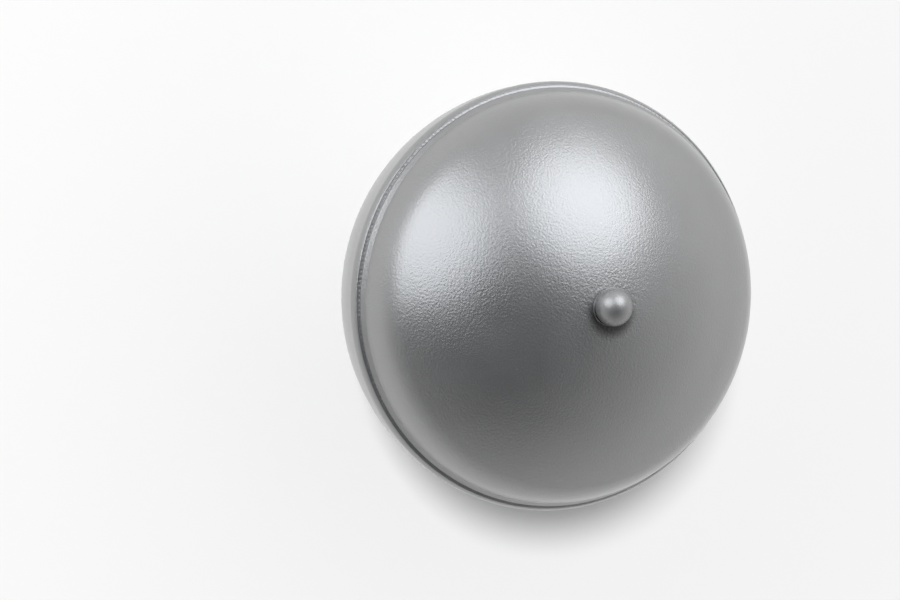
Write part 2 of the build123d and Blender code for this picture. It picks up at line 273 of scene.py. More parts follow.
def pigmentGroup():
    specks = {"scale": 260.0, "onlyAbove": 0.72, "strength": 0.35}
    clouds = {"scale": 55.0, "low": 0.3, "high": 0.7}
    group, start, end = newGroup(
        "pigment",
        [("Colour", "NodeSocketColor", (0.15, 0.15, 0.15, 1)), ("Drift", "NodeSocketFloat", 0.06),
         ("Speck Colour", "NodeSocketColor", (0.5, 0.5, 0.5, 1)), ("Speck Size", "NodeSocketFloat", 0.065),
         ("Gloss", "NodeSocketFloat", 0.35), ("Gloss Drift", "NodeSocketFloat", 0.06)],
        [("Colour", "NodeSocketColor"), ("Roughness", "NodeSocketFloat")],
    )
    where = addNode(group, "ShaderNodeTexCoord", -1000, 300).outputs["Object"]
    cloud = noiseOf(group, where, clouds["scale"], -700, 300, detail=3.0)
    swing = rangeOf(group, cloud.outputs["Fac"], clouds["low"], clouds["high"], -0.5, 0.5, -450, 300)
    lift = mathOf(group, "MULTIPLY", swing, start.outputs["Drift"], -250, 300)
    lift = mathOf(group, "ADD", lift, 1.0, -80, 300)
    scaled = addNode(group, "ShaderNodeVectorMath", 100, 300, operation="SCALE")
    group.links.new(start.outputs["Colour"], scaled.inputs[0])
    group.links.new(lift, scaled.inputs["Scale"])
    cells = addNode(group, "ShaderNodeTexVoronoi", -700, -50)
    cells.inputs["Scale"].default_value = specks["scale"]
    group.links.new(where, cells.inputs["Vector"])
    rare = addNode(group, "ShaderNodeSeparateColor", -450, -200)
    group.links.new(cells.outputs["Color"], rare.inputs[0])
    chosen = mathOf(group, "GREATER_THAN", rare.outputs[0], specks["onlyAbove"], -250, -200)
    size = mathOf(group, "MULTIPLY", start.outputs["Speck Size"], rare.outputs[1], -250, -60)
    near = mathOf(group, "LESS_THAN", cells.outputs["Distance"], size, -80, -60)
    mask = mathOf(group, "MULTIPLY", near, chosen, 80, -100)
    mask = mathOf(group, "MULTIPLY", mask, specks["strength"], 240, -100)
    colour = mixOf(group, mask, scaled.outputs[0], start.outputs["Speck Colour"], 450, 200)
    gloss = mathOf(group, "MULTIPLY", swing, start.outputs["Gloss Drift"], 240, -300)
    gloss = mathOf(group, "ADD", gloss, start.outputs["Gloss"], 450, -300)
    group.links.new(colour, end.inputs["Colour"])
    group.links.new(gloss, end.inputs["Roughness"])
    return group


def turnedGroup():
    stains = {"scale": 180.0, "low": 0.45, "high": 0.75}
    group, start, end = newGroup(
        "turnedMarks",
        [("Pitch Scale", "NodeSocketFloat", 5200.0), ("Depth", "NodeSocketFloat", 2e-6),
         ("Grime", "NodeSocketFloat", 0.3)],
        [("Normal", "NodeSocketVector"), ("Mark", "NodeSocketFloat"), ("Stain", "NodeSocketFloat")],
    )
    where = addNode(group, "ShaderNodeTexCoord", -1000, 300).outputs["Object"]
    parts = addNode(group, "ShaderNodeSeparateXYZ", -850, 300)
    group.links.new(where, parts.inputs[0])
    radius = radiusOf(group, parts, -700, 380)
    sheared = mathOf(group, "ADD", radius, parts.outputs["Z"], -380, 300)   # rings on flat faces and on walls
    steps = mathOf(group, "MULTIPLY", sheared, start.outputs["Pitch Scale"], -220, 300)
    lines = addNode(group, "ShaderNodeTexNoise", -60, 300, noise_dimensions="1D")
    lines.inputs["Scale"].default_value = 1.0
    lines.inputs["Detail"].default_value = 2.0
    group.links.new(steps, lines.inputs["W"])
    bump = bumpOf(group, lines.outputs["Fac"], start.outputs["Depth"], 300, 100)
    spots = noiseOf(group, where, stains["scale"], -400, -200, detail=4.0, roughness=0.6).outputs["Fac"]
    stain = rangeOf(group, spots, stains["low"], stains["high"], 0.0, 1.0, -100, -200, smooth=True)
    stain = mathOf(group, "MULTIPLY", stain, start.outputs["Grime"], 100, -200)
    group.links.new(bump.outputs["Normal"], end.inputs["Normal"])
    group.links.new(lines.outputs["Fac"], end.inputs["Mark"])
    group.links.new(stain, end.inputs["Stain"])
    return group


def rubberGroup():
    blooms = {"scale": 140.0, "low": 0.4, "high": 0.8, "strength": 0.55}
    skinGloss = (0.46, 0.62)
    group, start, end = newGroup(
        "rubberSkin",
        [("Colour", "NodeSocketColor", (0.03, 0.03, 0.03, 1)),
         ("Bloom Colour", "NodeSocketColor", (0.1, 0.1, 0.1, 1)),
         ("Grain Scale", "NodeSocketFloat", 2600.0), ("Depth", "NodeSocketFloat", 4e-6)],
        [("Colour", "NodeSocketColor"), ("Roughness", "NodeSocketFloat"), ("Normal", "NodeSocketVector")],
    )
    where = addNode(group, "ShaderNodeTexCoord", -1000, 300).outputs["Object"]
    bloom = noiseOf(group, where, blooms["scale"], -700, 300, detail=4.0, roughness=0.6).outputs["Fac"]
    low, high, most = blooms["low"], blooms["high"], blooms["strength"]
    mask = rangeOf(group, bloom, low, high, 0.0, most, -450, 300, smooth=True)
    colour = mixOf(group, mask, start.outputs["Colour"], start.outputs["Bloom Colour"], -200, 300)
    gloss = rangeOf(group, bloom, 0.3, 0.7, *skinGloss, -200, 100)
    grain = noiseOf(group, where, start.outputs["Grain Scale"], -700, -100, detail=3.0)
    bump = bumpOf(group, grain.outputs["Fac"], start.outputs["Depth"], 200, -100)
    group.links.new(colour, end.inputs["Colour"])
    group.links.new(gloss, end.inputs["Roughness"])
    group.links.new(bump.outputs["Normal"], end.inputs["Normal"])
    return group


orangePeel = orangePeelGroup()
pigment = pigmentGroup()
turnedMarks = turnedGroup()
rubberSkin = rubberGroup()
print("shared effects made")


# Finishes

paintLook = {
    "colour": (0.3, 0.3, 0.3, 1),
    "speck": (0.55, 0.55, 0.55, 1),
    # painted shade: a dark patch in the paint round the charging ball, standing in for its shadow and the shade
    # of its crevice
    "paintedShade": (0.06, 0.06, 0.058, 1),
    "paintedShadeMiddle": (1.4, 0.8, 105.7),      # painted shade round the charging ball's foot, drifted to the side where its shadow falls
    "paintedShadeReach": (3.9, 7.3),
    "paintedShadeStrength": 0.95,
    "metal": 0.8,
    "gloss": 0.33,
    "coat": 0.45,
    "coatGloss": 0.25,
    "poleHeight": 105.66,                 # the dimpled paint lies round the charging ball
    "dimpleReach": (5.0, 15.0),
    "dimpleScale": 1350.0,
}


def nearTo(tree, where, middle, reach, most, x, y):
    away = addNode(tree, "ShaderNodeVectorMath", x, y, operation="DISTANCE")
    tree.links.new(where, away.inputs[0])
    away.inputs[1].default_value = Vector(middle) * mm
    near, far = reach
    return rangeOf(tree, away.outputs["Value"], near * mm, far * mm, most, 0.0, x + 200, y, smooth=True)


def satinPaint(name, peelDepth=7.6e-5, dimplesAndShade=0.0, glossShift=0.0):
    material, tree, shader = newMaterial(name, {
        "Metallic": paintLook["metal"],
        "Coat Weight": paintLook["coat"],
        "Coat Roughness": paintLook["coatGloss"],
    })
    skin = placeGroup(tree, pigment, -700, 300, {
        "Colour": paintLook["colour"],
        "Speck Colour": paintLook["speck"],
        "Gloss": paintLook["gloss"] + glossShift,
    })
    peel = placeGroup(tree, orangePeel, -700, -100, {"Depth": peelDepth})
    normal = peel.outputs["Normal"]
    colour = skin.outputs["Colour"]
    if dimplesAndShade:
        where = addNode(tree, "ShaderNodeTexCoord", -1400, -400).outputs["Object"]
        pole = (0, 0, paintLook["poleHeight"])
        reach = nearTo(tree, where, pole, paintLook["dimpleReach"], 1.0, -1200, -400)
        pits = noiseOf(tree, where, paintLook["dimpleScale"], -1000, -650, detail=2.0)
        height = mathOf(tree, "SUBTRACT", pits.outputs["Fac"], 0.5, -800, -650)
        height = mathOf(tree, "MULTIPLY", height, reach, -600, -500)
        normal = bumpOf(tree, height, dimplesAndShade, -300, -400, normal).outputs["Normal"]
        # painted shade: the paint is darkened round the charging ball, off to the side where its shadow falls
        middle, strength = paintLook["paintedShadeMiddle"], paintLook["paintedShadeStrength"]
        paintedShade = nearTo(tree, where, middle, paintLook["paintedShadeReach"], strength, -1200, 600)
        colour = mixOf(tree, paintedShade, colour, paintLook["paintedShade"], -300, 400)
    tree.links.new(colour, shader.inputs["Base Color"])
    tree.links.new(skin.outputs["Roughness"], shader.inputs["Roughness"])
    tree.links.new(normal, shader.inputs["Normal"])
    return material


def turnedMetal(name, colour, stainColour, roughness, marks=2e-6, grime=0.3, pitch=5200.0):
    material, tree, shader = newMaterial(name, {"Metallic": 1.0})
    cut = placeGroup(tree, turnedMarks, -700, 0, {"Depth": marks, "Grime": grime, "Pitch Scale": pitch})
    tint = mixOf(tree, cut.outputs["Stain"], colour, stainColour, -350, 200)
    dull = rangeOf(tree, cut.outputs["Mark"], 0.2, 0.8, roughness - 0.06, roughness + 0.08, -350, -100)
    stained = mathOf(tree, "MULTIPLY", cut.outputs["Stain"], 0.3, -350, -300)
    dull = mathOf(tree, "ADD", dull, stained, -150, -100)
    tree.links.new(tint, shader.inputs["Base Color"])
    tree.links.new(dull, shader.inputs["Roughness"])
    tree.links.new(cut.outputs["Normal"], shader.inputs["Normal"])
    return material


def rubber(name, colour, bloomColour, grain=2600.0, depth=4e-6):
    material, tree, shader = newMaterial(name, {"IOR": 1.48})
    skin = placeGroup(tree, rubberSkin, -500, 0, {
        "Colour": colour, "Bloom Colour": bloomColour, "Grain Scale": grain, "Depth": depth,
    })
    for label, socket in (("Colour", "Base Color"), ("Roughness", "Roughness"), ("Normal", "Normal")):
        tree.links.new(skin.outputs[label], shader.inputs[socket])
    return material


neckLook = {
    "steel": (0.42, 0.42, 0.41, 1),
    "stain": (0.16, 0.14, 0.12, 1),
    "marks": 2.5e-6,
    "grime": 0.45,
    "dull": (0.28, 0.42),
    "paintAbove": 11.9,       # the ball's paint ends in a ragged edge down the outside of the collar
    "paintBeyond": 21.9,
    "ragged": 0.35,
    "raggedScale": 700.0,
}


def neckFinish():
    material, tree, shader = newMaterial("neckFinish", {})
    cut = placeGroup(tree, turnedMarks, -900, 0, {"Depth": neckLook["marks"], "Grime": neckLook["grime"]})
    skin = placeGroup(tree, pigment, -900, 400, {
        "Colour": paintLook["colour"], "Speck Colour": paintLook["speck"],
    })
    where = addNode(tree, "ShaderNodeTexCoord", -1500, -300).outputs["Object"]
    parts = addNode(tree, "ShaderNodeSeparateXYZ", -1300, -300)
    tree.links.new(where, parts.inputs[0])
    ragged = noiseOf(tree, where, neckLook["raggedScale"], -1300, -550, detail=3.0)
    most = neckLook["ragged"] * mm
    shift = rangeOf(tree, ragged.outputs["Fac"], 0.3, 0.7, -most, most, -1100, -550)
    height = mathOf(tree, "ADD", parts.outputs["Z"], shift, -900, -400)
    high = mathOf(tree, "GREATER_THAN", height, neckLook["paintAbove"] * mm, -700, -400)
    radius = radiusOf(tree, parts, -1100, -200)
    outside = mathOf(tree, "GREATER_THAN", radius, neckLook["paintBeyond"] * mm, -700, -200)
    painted = mathOf(tree, "MULTIPLY", high, outside, -500, -300)
    steel = mixOf(tree, cut.outputs["Stain"], neckLook["steel"], neckLook["stain"], -500, 100)
    colour = mixOf(tree, painted, steel, skin.outputs["Colour"], -250, 250)
    dull = rangeOf(tree, cut.outputs["Mark"], 0.2, 0.8, *neckLook["dull"], -500, -50)
    gloss = addNode(tree, "ShaderNodeMix", -250, 0, data_type="FLOAT")
    tree.links.new(painted, gloss.inputs[0])
    tree.links.new(dull, gloss.inputs[2])
    tree.links.new(skin.outputs["Roughness"], gloss.inputs[3])
    metal = mathOf(tree, "SUBTRACT", 1.0, painted, -250, -200)
    tree.links.new(colour, shader.inputs["Base Color"])
    tree.links.new(gloss.outputs[0], shader.inputs["Roughness"])
    tree.links.new(metal, shader.inputs["Metallic"])
    tree.links.new(cut.outputs["Normal"], shader.inputs["Normal"])
    return material


# the shells' paint, with painted shade beside the charging ball
shellPaintAndShade = satinPaint("shellPaintAndShade", dimplesAndShade=1e-4)
weldPaint = satinPaint("weldPaint", peelDepth=5e-5, glossShift=0.06)
ballPaint = satinPaint("ballPaint", peelDepth=2e-5, glossShift=0.1)
steelFinish = turnedMetal("turnedSteel", (0.46, 0.46, 0.45, 1), (0.2, 0.17, 0.14, 1), 0.34)
hardFinish = turnedMetal(
    "hardenedSteel", (0.3, 0.3, 0.31, 1), (0.12, 0.11, 0.11, 1), 0.3, marks=1.2e-6, grime=0.5)
springFinish = turnedMetal(
    "springSteel", (0.3, 0.33, 0.38, 1), (0.2, 0.16, 0.1, 1), 0.2, marks=4e-7, grime=0.4, pitch=9000.0)
copperFinish = turnedMetal(
    "softCopper", (0.78, 0.36, 0.22, 1), (0.3, 0.13, 0.08, 1), 0.32, marks=8e-7, grime=0.6)
buttonFinish = turnedMetal(
    "buttonMetal", (0.68, 0.69, 0.7, 1), (0.5, 0.5, 0.5, 1), 0.3, marks=2.5e-6, pitch=3000.0)
cupRubber = rubber("cupRubber", (0.022, 0.022, 0.024, 1), (0.05, 0.05, 0.052, 1))
sealRubber = rubber(
    "sealRubber", (0.045, 0.052, 0.06, 1), (0.085, 0.095, 0.105, 1), grain=3400.0, depth=2.5e-6)
neckSteel = neckFinish()
print("finishes made")


def finishPiece(piece, material, body, slot, *stoodFor):
    piece.data.materials.clear()
    piece.data.materials.append(material)
    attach(piece, body)
    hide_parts(*stoodFor)


# Sizes that the ball's pieces share
ball = {
    "radius": 58.0, "bowlCentre": 70.7, "rim": 76.0, "rimRadius": 56.9, "curl": 73.45,
    "domeEdge": (55.1, 77.95), "domeEdgeAngle": 77.6, "crownRadius": 77.4, "knuckleRadius": 18.8,
    "gasWall": 5.0, "oilWall": 5.0, "butt": 74.75, "register": 74.05, "ledge": 67.95,
    "grooveOpening": 1.1, "rootRadius": 54.9, "rootFlat": 0.3, "counterbore": 54.6,
    "neckHole": 22.05, "chargeRadius": 4.75, "chargeRise": 2.3, "turns": 360,
}
knuckleCentre = polar(ball["domeEdge"], -ball["knuckleRadius"], ball["domeEdgeAngle"])
centresApart = ball["crownRadius"] - ball["knuckleRadius"]
crownAngle = degrees(asin(knuckleCentre[0] / centresApart))     # where the crown runs into the knuckle
crownCentre = (0.0, knuckleCentre[1] - centresApart * cos(radians(crownAngle)))
domeTop = crownCentre[1] + ball["crownRadius"]
mouthLow = (ball["rimRadius"], ball["rim"])
mouthHigh = toward(mouthLow, ball["domeEdge"], ball["grooveOpening"])
rootLow = (ball["rootRadius"], ball["butt"])
rootHigh = (ball["rootRadius"], ball["butt"] + ball["rootFlat"])


def makeGasShell():
    size = {
        "crease": (55.09, 78.02), "lip": (55.86, 77.12),      # the flare ends in a flatter lip
        "creaseRadius": 0.25, "lipRadius": 0.5, "edgeRadius": 0.15, "holeRadius": 1.6, "registerFit": 0.1,
        "seatFit": 0.05, "flareAngle": 1.2,
    }
    crown, knuckle = ball["crownRadius"], ball["knuckleRadius"]
    innerCrown, innerKnuckle = crown - ball["gasWall"], knuckle - ball["gasWall"]
    seatRadius = ball["chargeRadius"] + size["seatFit"]
    seatEdge = sqrt(seatRadius**2 - ball["chargeRise"] ** 2)       # the charging ball's seat meets the crown
    seatAngle = degrees(asin(seatEdge / crown))
    outer = arcLine(crownCentre, crown, seatAngle, crownAngle, 60)
    outer += arcLine(knuckleCentre, knuckle, crownAngle, ball["domeEdgeAngle"] - size["flareAngle"], 40)[1:]
    before = outer[-1]
    outer += softCorner(before, size["crease"], size["lip"], size["creaseRadius"], 4)
    outer += split(outer[-1], size["lip"], 4)
    outer += softCorner(size["crease"], size["lip"], mouthHigh, size["lipRadius"], 3)
    outer += softCorner(size["lip"], mouthHigh, rootHigh, size["edgeRadius"], 6)
    registerRadius = ball["counterbore"] - size["registerFit"]
    innerEdge = polar(knuckleCentre, innerKnuckle, ball["domeEdgeAngle"])
    inner = [rootHigh, rootLow, (registerRadius, ball["butt"]), (registerRadius, ball["register"])]
    inner += [(innerEdge[0], ball["register"])]
    inner += arcLine(knuckleCentre, innerKnuckle, ball["domeEdgeAngle"], crownAngle, 24)
    holeAngle = degrees(asin(size["holeRadius"] / innerCrown))
    inner += arcLine(crownCentre, innerCrown, crownAngle, holeAngle, 36)[1:]
    seatCentre = (0.0, domeTop + ball["chargeRise"])
    inner += [(size["holeRadius"], seatCentre[1] - sqrt(seatRadius**2 - size["holeRadius"] ** 2))]
    lowAngle = 180 - degrees(asin(size["holeRadius"] / seatRadius))
    highAngle = 180 - degrees(asin(outer[0][0] / seatRadius))
    inner += arcLine(seatCentre, seatRadius, lowAngle, highAngle, 5)[1:-1]
    piece = lathe("gasShell", outer + inner, ball["turns"])
    finishPiece(piece, shellPaintAndShade, "ball", "paint", "gas_side_shell")


def makeOilShell():
    edgeRadius = 0.15
    centre = (0.0, ball["bowlCentre"])
    inside = ball["radius"] - ball["oilWall"]
    holeOuter = 180 - degrees(asin(ball["neckHole"] / ball["radius"]))
    holeInner = 180 - degrees(asin(ball["neckHole"] / inside))
    ledgeAngle = 90 + degrees(asin((ball["bowlCentre"] - ball["ledge"]) / inside))
    outline = arcLine(centre, ball["radius"], holeOuter, 90, 80)
    start = (ball["radius"], ball["curl"])
    outline += split(outline[-1], start, 4) + [start]
    bend = Vector((start[0] - mouthLow[0], start[1] - mouthLow[1]))
    curlRadius = (bend.x**2 + bend.y**2) / (2 * bend.x)   # the curl leaves the wall in a tangent
    curlCentre = (start[0] - curlRadius, start[1])
    lastAngle = degrees(atan2(mouthLow[0] - curlCentre[0], mouthLow[1] - curlCentre[1]))
    outline += arcLine(curlCentre, curlRadius, 90, lastAngle + 3, 8)[1:]
    outline += softCorner(outline[-1], mouthLow, rootLow, edgeRadius, 6)
    outline += [rootLow, (ball["counterbore"], ball["butt"]), (ball["counterbore"], ball["ledge"])]
    outline += arcLine(centre, inside, ledgeAngle, holeInner, 60)
    piece = lathe("oilShell", outline, ball["turns"])
    finishPiece(piece, shellPaintAndShade, "ball", "paint", "oil_side_shell")


makeGasShell()
makeOilShell()
print("shells turned")


def makeEquatorWeld():
    bead = {
        "lowSink": 0.18, "highSink": 0.23, "hollow": 0.3, "throatRadius": 0.06, "ripple": 0.11, "pitch": 1.2,
        "bow": 0.35, "drift": 0.5, "front": 0.12, "grain": 0.04, "turns": 1800, "steps": 6,
    }
    low = toward(mouthLow, rootLow, bead["lowSink"])
    high = toward(mouthHigh, rootHigh, bead["highSink"])
    throat = toward(halfway(low, high), halfway(rootLow, rootHigh), bead["hollow"])
    out = (Vector(halfway(mouthLow, mouthHigh)) - Vector(throat)).normalized()
    cap = [low] + split(low, throat, bead["steps"]) + softCorner(low, throat, high, bead["throatRadius"], 2)
    cap += split(throat, high, bead["steps"])[1:] + [high]
    last = len(cap) - 1
    ripples = round(2 * pi * throat[0] / bead["pitch"])

    def rippled(a, k, r, z):
        if not 0 < k < last:
            return r, z
        share = k / last
        bow = bead["bow"] * 4 * share * (1 - share)   # each ripple bows along the seam
        x, y = 56 * cos(a), 56 * sin(a)
        drift = bead["drift"] * rough(x, y, 0, 9.0)
        phase = (a / (2 * pi) * ripples + bow + drift) % 1.0
        front = bead["front"]                         # each ripple has a steep front and a long back
        step = (1 - phase) ** 1.5 if phase > front else phase / front * 0.83
        lift = bead["ripple"] * (step - 0.35) * (0.8 + 0.5 * rough(x, y, 5, 3.5)) * sin(pi * share) ** 0.5
        lift += bead["grain"] * rough(x, y, z, 1.1)
        return r + out.x * lift, z + out.y * lift

    piece = lathe("equatorWeld", cap + [rootHigh, rootLow], bead["turns"], rippled)
    finishPiece(piece, weldPaint, "ball", "paint", "equator_weld")


def makeChargeBall():
    pressed = {                                       # out of round from its welding
        "along": 1.02, "across": 0.965, "shift": (-0.38, -0.12),
        "swell": 0.3, "swellWay": (-0.22, -0.88, 0.42), "swellSpread": 32,
    }
    skin = {"under": 0.015, "wave": 0.012, "run": 0.02, "runHeight": -0.35, "runSpread": 0.2}
    swellWay = Vector(pressed["swellWay"]).normalized()
    centre = domeTop + ball["chargeRise"]
    mesh = bpy.data.meshes.new("chargeBall")
    work = bmesh.new()
    bmesh.ops.create_icosphere(work, subdivisions=6, radius=ball["chargeRadius"] * mm)
    for vert in work.verts:
        way = vert.co.normalized()
        wave = skin["wave"] * rough(way.x, way.y, way.z, 0.5)
        runShare = exp(-((way.z - skin["runHeight"]) / skin["runSpread"]) ** 2)
        paintRun = skin["run"] * runShare * rough(way.x, way.y, 3, 0.35)
        swell = pressed["swell"] * exp(-((way.angle(swellWay) / radians(pressed["swellSpread"])) ** 2))
        place = way * (ball["chargeRadius"] - skin["under"] + wave + paintRun + swell)
        x = place.x * pressed["along"] + pressed["shift"][0]
        y = place.y * pressed["across"] + pressed["shift"][1]
        vert.co = Vector((x, y, place.z + centre)) * mm
    for face in work.faces:
        face.smooth = True
    work.to_mesh(mesh)
    work.free()
    piece = bpy.data.objects.new("chargeBall", mesh)
    scene.collection.objects.link(piece)
    finishPiece(piece, ballPaint, "ball", "paint", "charge_ball")


def makeChargeWeld():
    flash = {                                         # metal squeezed up, higher on one side
        "low": 0.5, "climb": 0.45, "highAt": 265.0, "highSpread": 60.0, "width": 0.42,
        "unevenHeight": 0.12, "unevenWidth": 0.14, "grain": 0.05, "sink": 0.05,
        "footRadius": 3.9, "shoulderRadius": 4.7, "footDepth": 0.75, "turns": 240, "steps": 12,
    }
    steps = flash["steps"]
    radius, rise = ball["chargeRadius"], ball["chargeRise"]

    def squeezed(a, k, r, z):
        if k > steps:
            return r, z
        share = k / steps
        x, y = cos(a), sin(a)
        apart = (degrees(a) - flash["highAt"] + 180) % 360 - 180
        height = flash["low"] + flash["climb"] * exp(-((apart / flash["highSpread"]) ** 2))
        height = (height + flash["unevenHeight"] * rough(x, y, 0, 0.5)) * share
        width = flash["width"] + flash["unevenWidth"] * rough(x, y, 4, 0.45)
        width += flash["grain"] * rough(x * 2, y * 2, share, 0.3)
        r = sqrt(radius**2 - (rise - height) ** 2) - 0.02 + width * (1 - share**1.6) ** 1.25
        onDome = crownCentre[1] + sqrt(ball["crownRadius"] ** 2 - r**2)
        return r, onDome - flash["sink"] + height

    foot = domeTop - flash["footDepth"]
    rows = [(radius, domeTop)] * (steps + 1)
    rows += [(flash["footRadius"], domeTop - 0.2), (flash["footRadius"], foot), (flash["shoulderRadius"], foot)]
    piece = lathe("chargeBallFlash", rows, flash["turns"], squeezed)
    finishPiece(piece, weldPaint, "ball", "paint", "charge_ball_weld")


makeEquatorWeld()
makeChargeBall()
makeChargeWeld()
print("welds and charging ball made")


neck = {
    "threadRadius": 17.5, "threadPitch": 1.5, "threadDepth": 0.92, "threadLength": 8.0, "chamfer": 1.0,
    "undercutRadius": 16.3, "undercutTop": 9.4, "pilotRadius": 19.2, "seat": 11.4, "collarRadius": 22.0,
    "top": 22.48, "mouthRadius": 10.5, "mouthEdge": 0.8, "chamberTop": 17.98, "chamberRadius": 12.5,
    "boreRadius": 13.0, "boreDepth": 6.0, "boreChamfer": 0.6, "turns": 240, "threadRows": 104,
    "rootEnd": 0.12, "flankShare": 0.74, "softness": 0.35,
}


def threadRadius(a, z):
    phase = (z / neck["threadPitch"] - a / (2 * pi)) % 1.0
    slope = abs(phase * 2 - 1)                       # 0 at the root, 1 at the crest
    height = min(1.0, max(0.0, (slope - neck["rootEnd"]) / neck["flankShare"]))
    soft = neck["softness"]
    height = height * height * (3 - 2 * height) * soft + height * (1 - soft)
    major = neck["threadRadius"]
    radius = major - neck["threadDepth"] * (1 - height)
    leadIn = major - neck["chamfer"] + z
    runOut = major - (z - neck["threadLength"]) * 2
    return min(radius, leadIn, runOut)


def makeNeck():
    outline = [(neck["threadRadius"] - neck["chamfer"], 0.0)]
    for k in range(1, neck["threadRows"]):
        outline.append((neck["threadRadius"], neck["threadLength"] * k / neck["threadRows"]))
    firstPlain = len(outline)
    outline += softOutline(
        [(neck["undercutRadius"], 8.6), (neck["undercutRadius"], neck["undercutTop"]),
         (neck["pilotRadius"], neck["undercutTop"]), (neck["pilotRadius"], neck["seat"]),
         (neck["collarRadius"], neck["seat"]), (neck["collarRadius"], neck["top"]),
         (neck["mouthRadius"] + neck["mouthEdge"], neck["top"]),
         (neck["mouthRadius"], neck["top"] - neck["mouthEdge"]),
         (neck["mouthRadius"], neck["chamberTop"]), (neck["chamberRadius"], neck["chamberTop"]),
         (neck["chamberRadius"], neck["boreDepth"]), (neck["boreRadius"], neck["boreDepth"]),
         (neck["boreRadius"], neck["boreChamfer"]), (neck["boreRadius"] + neck["boreChamfer"], 0.0)],
        [0, 0.25, 0.2, 0.15, 0.25, 0, 0, 0, 0, 0, 0.12, 0.2, 0, 0], 3,
    )

    def threaded(a, k, r, z):
        if 0 < k < firstPlain:
            return threadRadius(a, z), z
        return r, z

    piece = lathe("portNeck", outline, neck["turns"], threaded, sharp=40)
    finishPiece(piece, neckSteel, "ball", "bare_steel", "port_neck")


def makeNeckWeld():
    bead = {
        "leg": 2.6, "sink": 0.05, "hollow": -0.28, "pitch": 1.9, "ripple": 0.16, "bow": 1.2, "drift": 0.4,
        "grain": 0.1, "turns": 720, "steps": 9,
    }
    centre = (0.0, ball["bowlCentre"])
    corner = 180 - degrees(asin(ball["neckHole"] / ball["radius"]))
    inner = neck["collarRadius"] - bead["sink"]
    toe = polar(centre, ball["radius"] - bead["sink"], corner - degrees(bead["leg"] / ball["radius"]))
    foot = (inner, polar(centre, ball["radius"], corner)[1] - bead["leg"])
    way = Vector(foot) - Vector(toe)
    out = Vector((-way.y, way.x)).normalized()
    if out.x < 0:
        out = -out
    cap = []
    for k in range(bead["steps"] + 1):
        share = k / bead["steps"]
        cap.append(tuple(Vector(toe) + way * share + out * (bead["hollow"] * sin(pi * k / bead["steps"]))))
    ripples = round(2 * pi * 23.5 / bead["pitch"])

    def rippled(a, k, r, z):
        if not 0 < k < bead["steps"]:
            return r, z
        share = k / bead["steps"]
        x, y = 24 * cos(a), 24 * sin(a)
        bow = bead["bow"] * share * (1 - share)
        phase = (a / (2 * pi) * ripples + bow + bead["drift"] * rough(x, y, 0, 7.0)) % 1.0
        swing = (abs(phase * 2 - 1) - 0.5) * (0.8 + 0.6 * rough(x, y, 9, 4.0))
        lift = bead["ripple"] * swing * sin(pi * share) ** 0.6
        lift += bead["grain"] * rough(x, y, z, 2.2) * sin(pi * share)
        return r + out.x * lift, z + out.y * lift

    inside = [(inner, foot[1] + bead["leg"] + 0.1)]
    piece = lathe("neckWeld", cap + inside, bead["turns"], rippled)
    finishPiece(piece, weldPaint, "ball", "paint", "neck_weld")


def makeSealRing():
    seal = {
        "inner": 19.25, "width": 2.05, "height": 2.5, "top": 11.4, "edge": 0.22,
        "mouldLine": 0.03, "mouldLineHalf": 0.06, "turns": 200,
    }
    outer, low = seal["inner"] + seal["width"], seal["top"] - seal["height"]
    corners = [(seal["inner"], low), (outer, low), (outer, seal["top"]), (seal["inner"], seal["top"])]
    outline = softOutline(corners, [seal["edge"]] * 4, 4)
    middle = (seal["top"] + low) / 2
    spot = next(k for k, p in enumerate(outline) if p[0] > outer - 0.01 and p[1] > middle)
    half = seal["mouldLineHalf"]
    outline[spot:spot] = [(outer, middle - half), (outer + seal["mouldLine"], middle), (outer, middle + half)]
    piece = lathe("portSeal", outline, seal["turns"], sharp=50)
    finishPiece(piece, sealRubber, "ball", "seal_rubber", "port_seal_ring")


makeNeck()
makeNeckWeld()
makeSealRing()
print("neck, thread and seal made")


